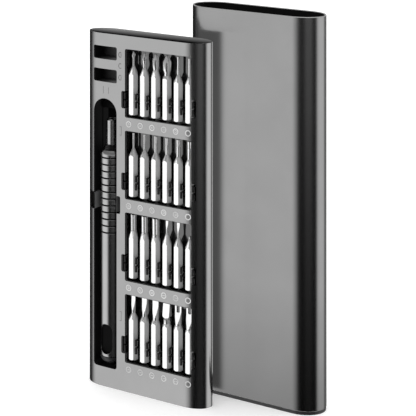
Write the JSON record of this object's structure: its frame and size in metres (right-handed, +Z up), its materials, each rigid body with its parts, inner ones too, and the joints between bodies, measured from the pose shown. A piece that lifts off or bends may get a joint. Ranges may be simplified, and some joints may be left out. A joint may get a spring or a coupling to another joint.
{
  "type": "precision screwdriver set",
  "caption": "Slim bit tray with a screwdriver handle and small hex-shank bits in four rows, standing beside the flat, round-ended aluminium sleeve it slides into.",
  "frame": {"origin": "centre of the tray's bottom face", "axes": "+Z up along the tray, from its bottom to its closed top; +X to the right of someone looking at the openings, from the handle to the bits; -Y is the way the openings face"},
  "size_m": [0.1116, 0.0378, 0.175],
  "materials": {
    "tray_aluminium": "bead-blasted and anodised, mid grey, chamfered edges",
    "sleeve_aluminium": "bead-blasted and anodised, darker grey",
    "handle_aluminium": "turned and anodised, dark grey, with bright groove edges",
    "black_gloss": "polished black moulding",
    "black_matte": "fine-textured black moulding",
    "bit_steel": "satin nickel-plated tool steel",
    "plated_steel": "plated steel",
    "magnet": "nickel-plated magnet"
  },
  "bodies": {
    "sleeve": {"sleeve_tube": "sleeve_aluminium", "sleeve_end_cap": "black_matte", "sleeve_front_guide": "black_matte", "sleeve_rear_guide": "black_matte", "latch_housing": "black_matte", "latch_spring": "plated_steel"},
    "tray": {"tray_shell": "tray_aluminium", "tray_liner": "black_gloss", "tray_bottom_plug": "black_matte", "bit_rack_1": "black_gloss", "bit_rack_2": "black_gloss", "bit_rack_3": "black_gloss", "bit_rack_4": "black_gloss", "handle_clip": "plated_steel", "pocket_magnet_lower": "magnet", "pocket_magnet_upper": "magnet", "strike_plate": "plated_steel"},
    "latch_plunger": {"latch_plunger": "black_matte", "latch_magnet": "magnet"},
    "handle": {"handle_body": "handle_aluminium", "handle_inlay": "black_matte", "handle_collar": "black_matte", "bit_socket": "plated_steel", "socket_magnet": "magnet", "cap_pin": "plated_steel"},
    "swivel_cap": {"swivel_cap": "black_matte"},
    "bit_11_cross": {"bit_11_cross": "bit_steel"},
    "bit_12_cross": {"bit_12_cross": "bit_steel"},
    "bit_13_cross": {"bit_13_cross": "bit_steel"},
    "bit_14_cross": {"bit_14_cross": "bit_steel"},
    "bit_15_hex": {"bit_15_hex": "bit_steel"},
    "bit_16_hex": {"bit_16_hex": "bit_steel"},
    "bit_21_star": {"bit_21_star": "bit_steel"},
    "bit_22_star": {"bit_22_star": "bit_steel"},
    "bit_23_star": {"bit_23_star": "bit_steel"},
    "bit_24_star": {"bit_24_star": "bit_steel"},
    "bit_25_star": {"bit_25_star": "bit_steel"},
    "bit_26_star": {"bit_26_star": "bit_steel"},
    "bit_31_star": {"bit_31_star": "bit_steel"},
    "bit_32_star": {"bit_32_star": "bit_steel"},
    "bit_33_star": {"bit_33_star": "bit_steel"},
    "bit_34_slotted": {"bit_34_slotted": "bit_steel"},
    "bit_35_slotted": {"bit_35_slotted": "bit_steel"},
    "bit_36_slotted": {"bit_36_slotted": "bit_steel"},
    "bit_41_slotted": {"bit_41_slotted": "bit_steel"},
    "bit_42_slotted": {"bit_42_slotted": "bit_steel"},
    "bit_43_slotted": {"bit_43_slotted": "bit_steel"},
    "bit_44_slotted": {"bit_44_slotted": "bit_steel"},
    "bit_45_fork": {"bit_45_fork": "bit_steel"},
    "bit_46_fork": {"bit_46_fork": "bit_steel"}
  },
  "joints": [
    {"name": "tray_slide", "type": "slide", "parent": "sleeve", "child": "tray", "axis": [0, 0, 1], "range_m": [0, 0.162]},
    {"name": "latch_travel", "type": "slide", "parent": "sleeve", "child": "latch_plunger", "axis": [0, 0, -1], "range_m": [0, 0.004], "stiffness_N_per_m": 250, "springref_m": -0.004, "deforming": ["latch_spring"]},
    {"name": "handle_lift", "type": "slide", "parent": "tray", "child": "handle", "axis": [0, -1, 0], "range_m": [0, 0.016]},
    {"name": "cap_swivel", "type": "hinge", "parent": "handle", "child": "swivel_cap", "pos_m": [-0.0206, -0.00045, 0.0115], "axis": [0, 0, 1], "continuous": true},
    {"name": "lift_11_cross", "type": "slide", "parent": "tray", "child": "bit_11_cross", "axis": [0, -1, 0], "range_m": [0, 0.012]},
    {"name": "lift_12_cross", "type": "slide", "parent": "tray", "child": "bit_12_cross", "axis": [0, -1, 0], "range_m": [0, 0.012]},
    {"name": "lift_13_cross", "type": "slide", "parent": "tray", "child": "bit_13_cross", "axis": [0, -1, 0], "range_m": [0, 0.012]},
    {"name": "lift_14_cross", "type": "slide", "parent": "tray", "child": "bit_14_cross", "axis": [0, -1, 0], "range_m": [0, 0.012]},
    {"name": "lift_15_hex", "type": "slide", "parent": "tray", "child": "bit_15_hex", "axis": [0, -1, 0], "range_m": [0, 0.012]},
    {"name": "lift_16_hex", "type": "slide", "parent": "tray", "child": "bit_16_hex", "axis": [0, -1, 0], "range_m": [0, 0.012]},
    {"name": "lift_21_star", "type": "slide", "parent": "tray", "child": "bit_21_star", "axis": [0, -1, 0], "range_m": [0, 0.012]},
    {"name": "lift_22_star", "type": "slide", "parent": "tray", "child": "bit_22_star", "axis": [0, -1, 0], "range_m": [0, 0.012]},
    {"name": "lift_23_star", "type": "slide", "parent": "tray", "child": "bit_23_star", "axis": [0, -1, 0], "range_m": [0, 0.012]},
    {"name": "lift_24_star", "type": "slide", "parent": "tray", "child": "bit_24_star", "axis": [0, -1, 0], "range_m": [0, 0.012]},
    {"name": "lift_25_star", "type": "slide", "parent": "tray", "child": "bit_25_star", "axis": [0, -1, 0], "range_m": [0, 0.012]},
    {"name": "lift_26_star", "type": "slide", "parent": "tray", "child": "bit_26_star", "axis": [0, -1, 0], "range_m": [0, 0.012]},
    {"name": "lift_31_star", "type": "slide", "parent": "tray", "child": "bit_31_star", "axis": [0, -1, 0], "range_m": [0, 0.012]},
    {"name": "lift_32_star", "type": "slide", "parent": "tray", "child": "bit_32_star", "axis": [0, -1, 0], "range_m": [0, 0.012]},
    {"name": "lift_33_star", "type": "slide", "parent": "tray", "child": "bit_33_star", "axis": [0, -1, 0], "range_m": [0, 0.012]},
    {"name": "lift_34_slotted", "type": "slide", "parent": "tray", "child": "bit_34_slotted", "axis": [0, -1, 0], "range_m": [0, 0.012]},
    {"name": "lift_35_slotted", "type": "slide", "parent": "tray", "child": "bit_35_slotted", "axis": [0, -1, 0], "range_m": [0, 0.012]},
    {"name": "lift_36_slotted", "type": "slide", "parent": "tray", "child": "bit_36_slotted", "axis": [0, -1, 0], "range_m": [0, 0.012]},
    {"name": "lift_41_slotted", "type": "slide", "parent": "tray", "child": "bit_41_slotted", "axis": [0, -1, 0], "range_m": [0, 0.012]},
    {"name": "lift_42_slotted", "type": "slide", "parent": "tray", "child": "bit_42_slotted", "axis": [0, -1, 0], "range_m": [0, 0.012]},
    {"name": "lift_43_slotted", "type": "slide", "parent": "tray", "child": "bit_43_slotted", "axis": [0, -1, 0], "range_m": [0, 0.012]},
    {"name": "lift_44_slotted", "type": "slide", "parent": "tray", "child": "bit_44_slotted", "axis": [0, -1, 0], "range_m": [0, 0.012]},
    {"name": "lift_45_fork", "type": "slide", "parent": "tray", "child": "bit_45_fork", "axis": [0, -1, 0], "range_m": [0, 0.012]},
    {"name": "lift_46_fork", "type": "slide", "parent": "tray", "child": "bit_46_fork", "axis": [0, -1, 0], "range_m": [0, 0.012]}
  ]
}
